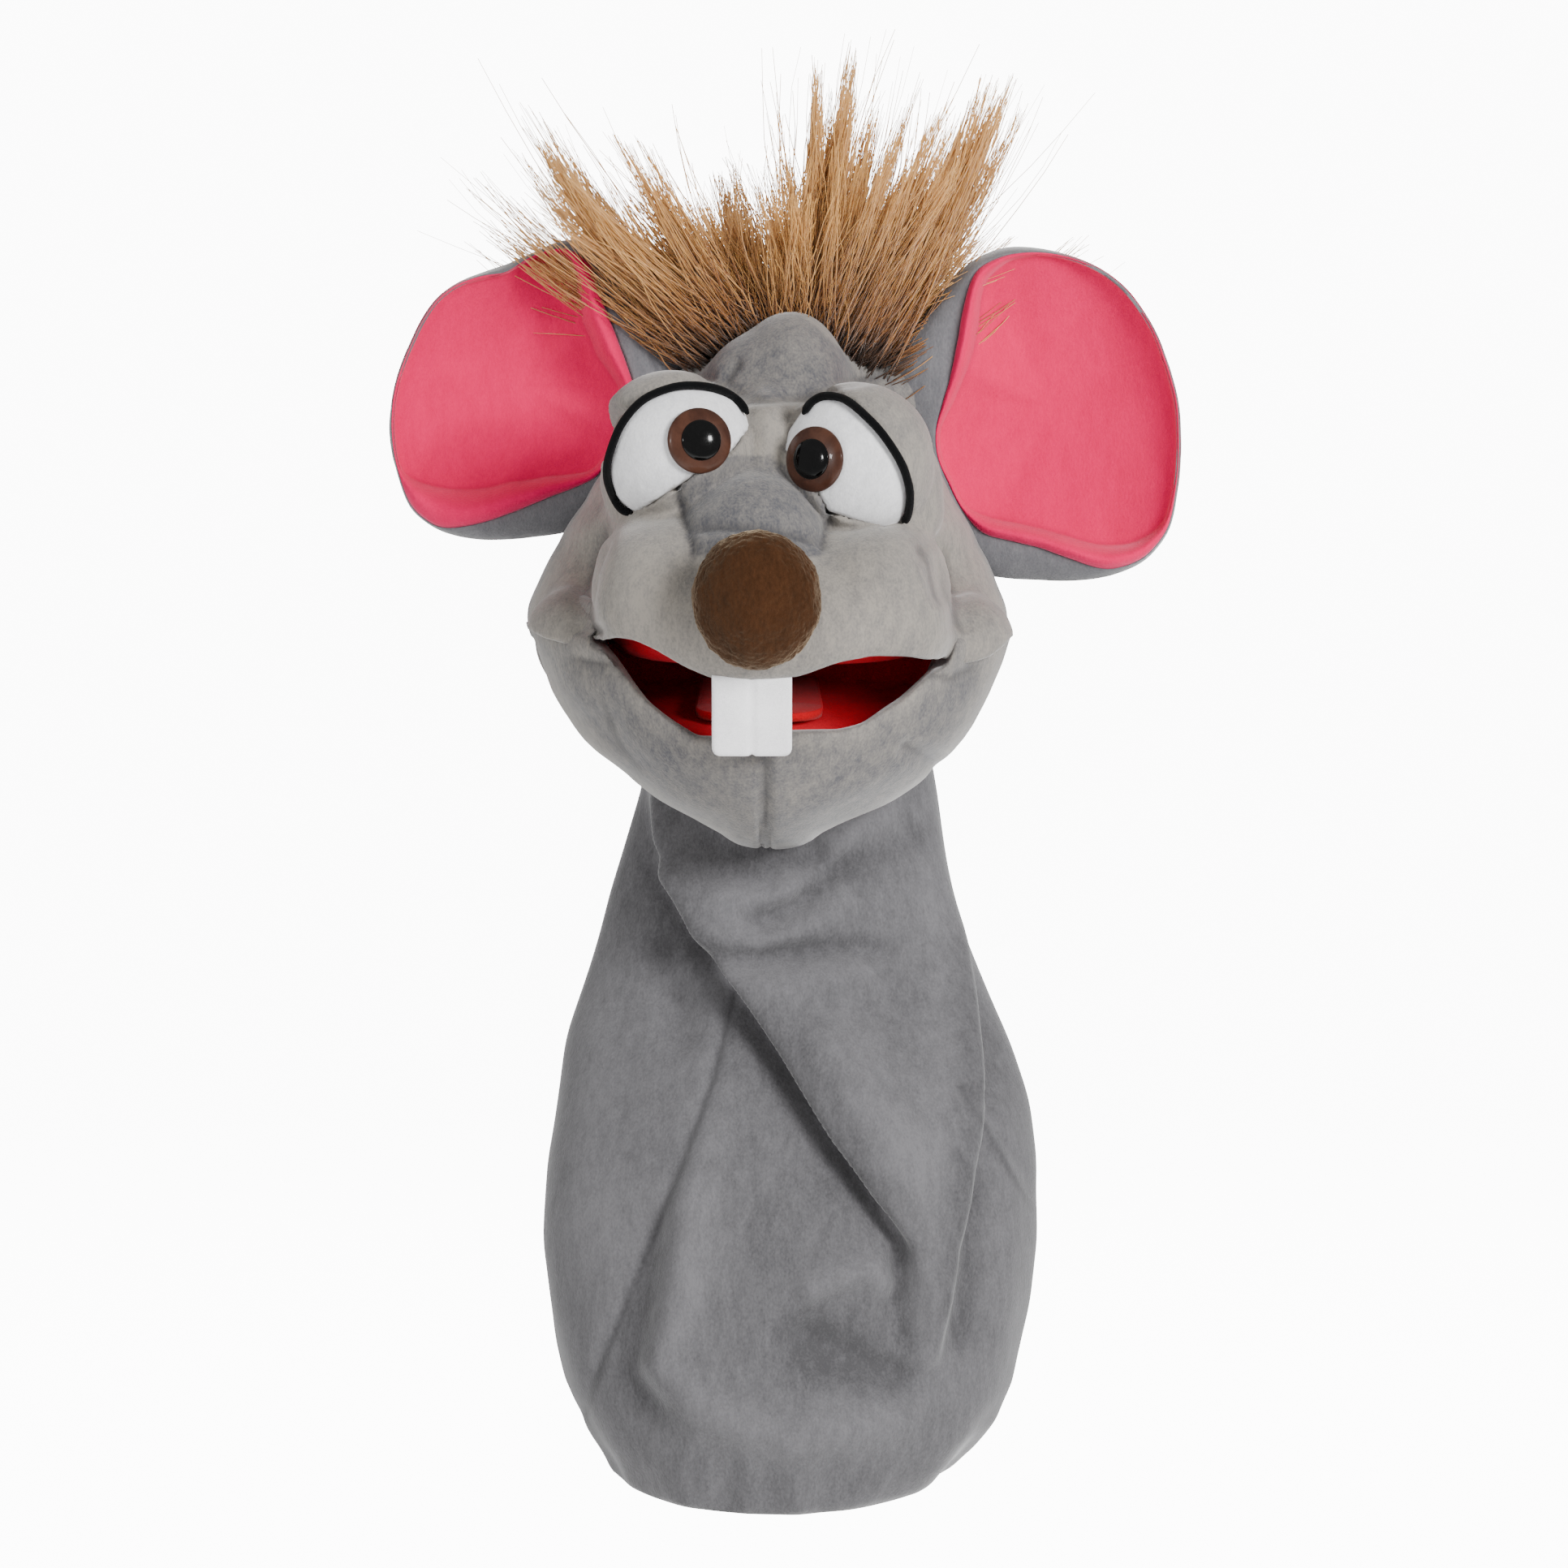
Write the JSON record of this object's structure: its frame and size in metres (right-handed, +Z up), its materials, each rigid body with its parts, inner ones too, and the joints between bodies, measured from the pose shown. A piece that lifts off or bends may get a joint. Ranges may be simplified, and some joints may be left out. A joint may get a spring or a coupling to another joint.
{
  "type": "hand puppet",
  "caption": "Grey plush rat hand puppet with a sleeve, stuffed head, hinged mouth with felt teeth, cupped pink ears, inset eyes and a fur crest.",
  "frame": {"origin": "centre of the round cuff's lower opening, where the forearm goes in", "axes": "+Z up the sleeve, the face looks along -Y, +X is the puppet's own left side"},
  "size_m": [0.2345, 0.1785, 0.4311],
  "materials": {
    "grey_velour": "short-pile grey velour",
    "pale_velour": "short-pile pale grey velour",
    "dark_velour": "short-pile blue-grey velour",
    "pink_velour": "short-pile pink velour",
    "nose_velour": "short-pile brown velour",
    "eye_velour": "white velour",
    "fur": "long-pile ginger-brown fur",
    "mouth_felt": "red felt",
    "tongue_felt": "bright red felt",
    "teeth_felt": "white felt",
    "stuffing": "polyester filling",
    "lining": "woven lining",
    "liner_cord": "black cord",
    "elastic": "knitted elastic band",
    "board": "flexible stiffener sheet",
    "iris_plastic": "glossy brown",
    "pupil_plastic": "glossy black",
    "washer": "moulded"
  },
  "bodies": {
    "sleeve": {"hem_band": "grey_velour", "cuff_elastic": "elastic", "hem_facing": "lining", "sleeve_front_gore": "grey_velour", "sleeve_left_panel": "grey_velour", "sleeve_right_panel": "grey_velour"},
    "neck": {"neck_tube": "grey_velour"},
    "head": {"forehead_cover": "dark_velour", "cheek_cover_right": "pale_velour", "cheek_cover_left": "pale_velour", "back_cover_right": "grey_velour", "back_cover_left": "grey_velour", "nape_cover": "grey_velour", "snout_bridge": "dark_velour", "muzzle_right": "grey_velour", "muzzle_left": "grey_velour", "upper_palate": "mouth_felt", "upper_mouth_board": "board", "lip_facing_upper": "grey_velour", "finger_pocket": "lining", "head_stuffing": "stuffing", "snout_stuffing": "stuffing", "nose_cover": "nose_velour", "nose_stuffing": "stuffing", "hair_backing": "fur", "hair_tufts": "fur", "eye_white_right": "eye_velour", "eye_stuffing_right": "stuffing", "eye_washer_right": "washer", "iris_right": "iris_plastic", "pupil_right": "pupil_plastic", "eyelid_right": "pale_velour", "eye_liner_right": "liner_cord", "eye_white_left": "eye_velour", "eye_stuffing_left": "stuffing", "eye_washer_left": "washer", "iris_left": "iris_plastic", "pupil_left": "pupil_plastic", "eyelid_left": "pale_velour", "eye_liner_left": "liner_cord"},
    "jaw": {"jaw_cover_right": "grey_velour", "jaw_cover_left": "grey_velour", "jaw_stuffing": "stuffing", "lower_palate": "mouth_felt", "lower_mouth_board": "board", "lip_facing_lower": "grey_velour", "throat_lining": "grey_velour", "thumb_pocket": "lining"},
    "tongue": {"tongue": "tongue_felt"},
    "teeth": {"teeth": "teeth_felt"},
    "ear_right": {"ear_lining_right": "pink_velour", "ear_pad_right": "stuffing", "ear_back_right": "grey_velour"},
    "ear_left": {"ear_lining_left": "pink_velour", "ear_pad_left": "stuffing", "ear_back_left": "grey_velour"}
  },
  "joints": [
    {"name": "neck_turn", "type": "hinge", "parent": "sleeve", "child": "neck", "pos_m": [0, 0.034, 0.15], "axis": [0, 0, 1], "range_deg": [-35, 35]},
    {"name": "head_nod", "type": "hinge", "parent": "neck", "child": "head", "pos_m": [0, 0.034, 0.218], "axis": [1, 0, 0], "range_deg": [-18, 15]},
    {"name": "jaw_open", "type": "hinge", "parent": "head", "child": "jaw", "pos_m": [0, 0.008, 0.25], "axis": [1, 0, 0], "range_deg": [-12, 20], "stiffness_Nm_per_rad": 0.4, "springref_deg": -2.86},
    {"name": "tongue_lift", "type": "hinge", "parent": "jaw", "child": "tongue", "pos_m": [0, -0.01079, 0.24222], "axis": [-1, 0, 0], "range_deg": [0, 18], "stiffness_Nm_per_rad": 0.01},
    {"name": "teeth_swing", "type": "hinge", "parent": "head", "child": "teeth", "pos_m": [-0.0053, -0.08045, 0.249], "axis": [-1, 0, 0], "range_deg": [-8, 20], "stiffness_Nm_per_rad": 0.005},
    {"name": "ear_right_fold", "type": "hinge", "parent": "head", "child": "ear_right", "pos_m": [-0.05736, 0.00994, 0.31398], "axis": [0.4725, 0, 0.8813], "range_deg": [-20, 30], "stiffness_Nm_per_rad": 0.15},
    {"name": "ear_left_fold", "type": "hinge", "parent": "head", "child": "ear_left", "pos_m": [0.06099, 0.00924, 0.30657], "axis": [0.4071, 0, -0.9134], "range_deg": [-20, 30], "stiffness_Nm_per_rad": 0.15}
  ]
}
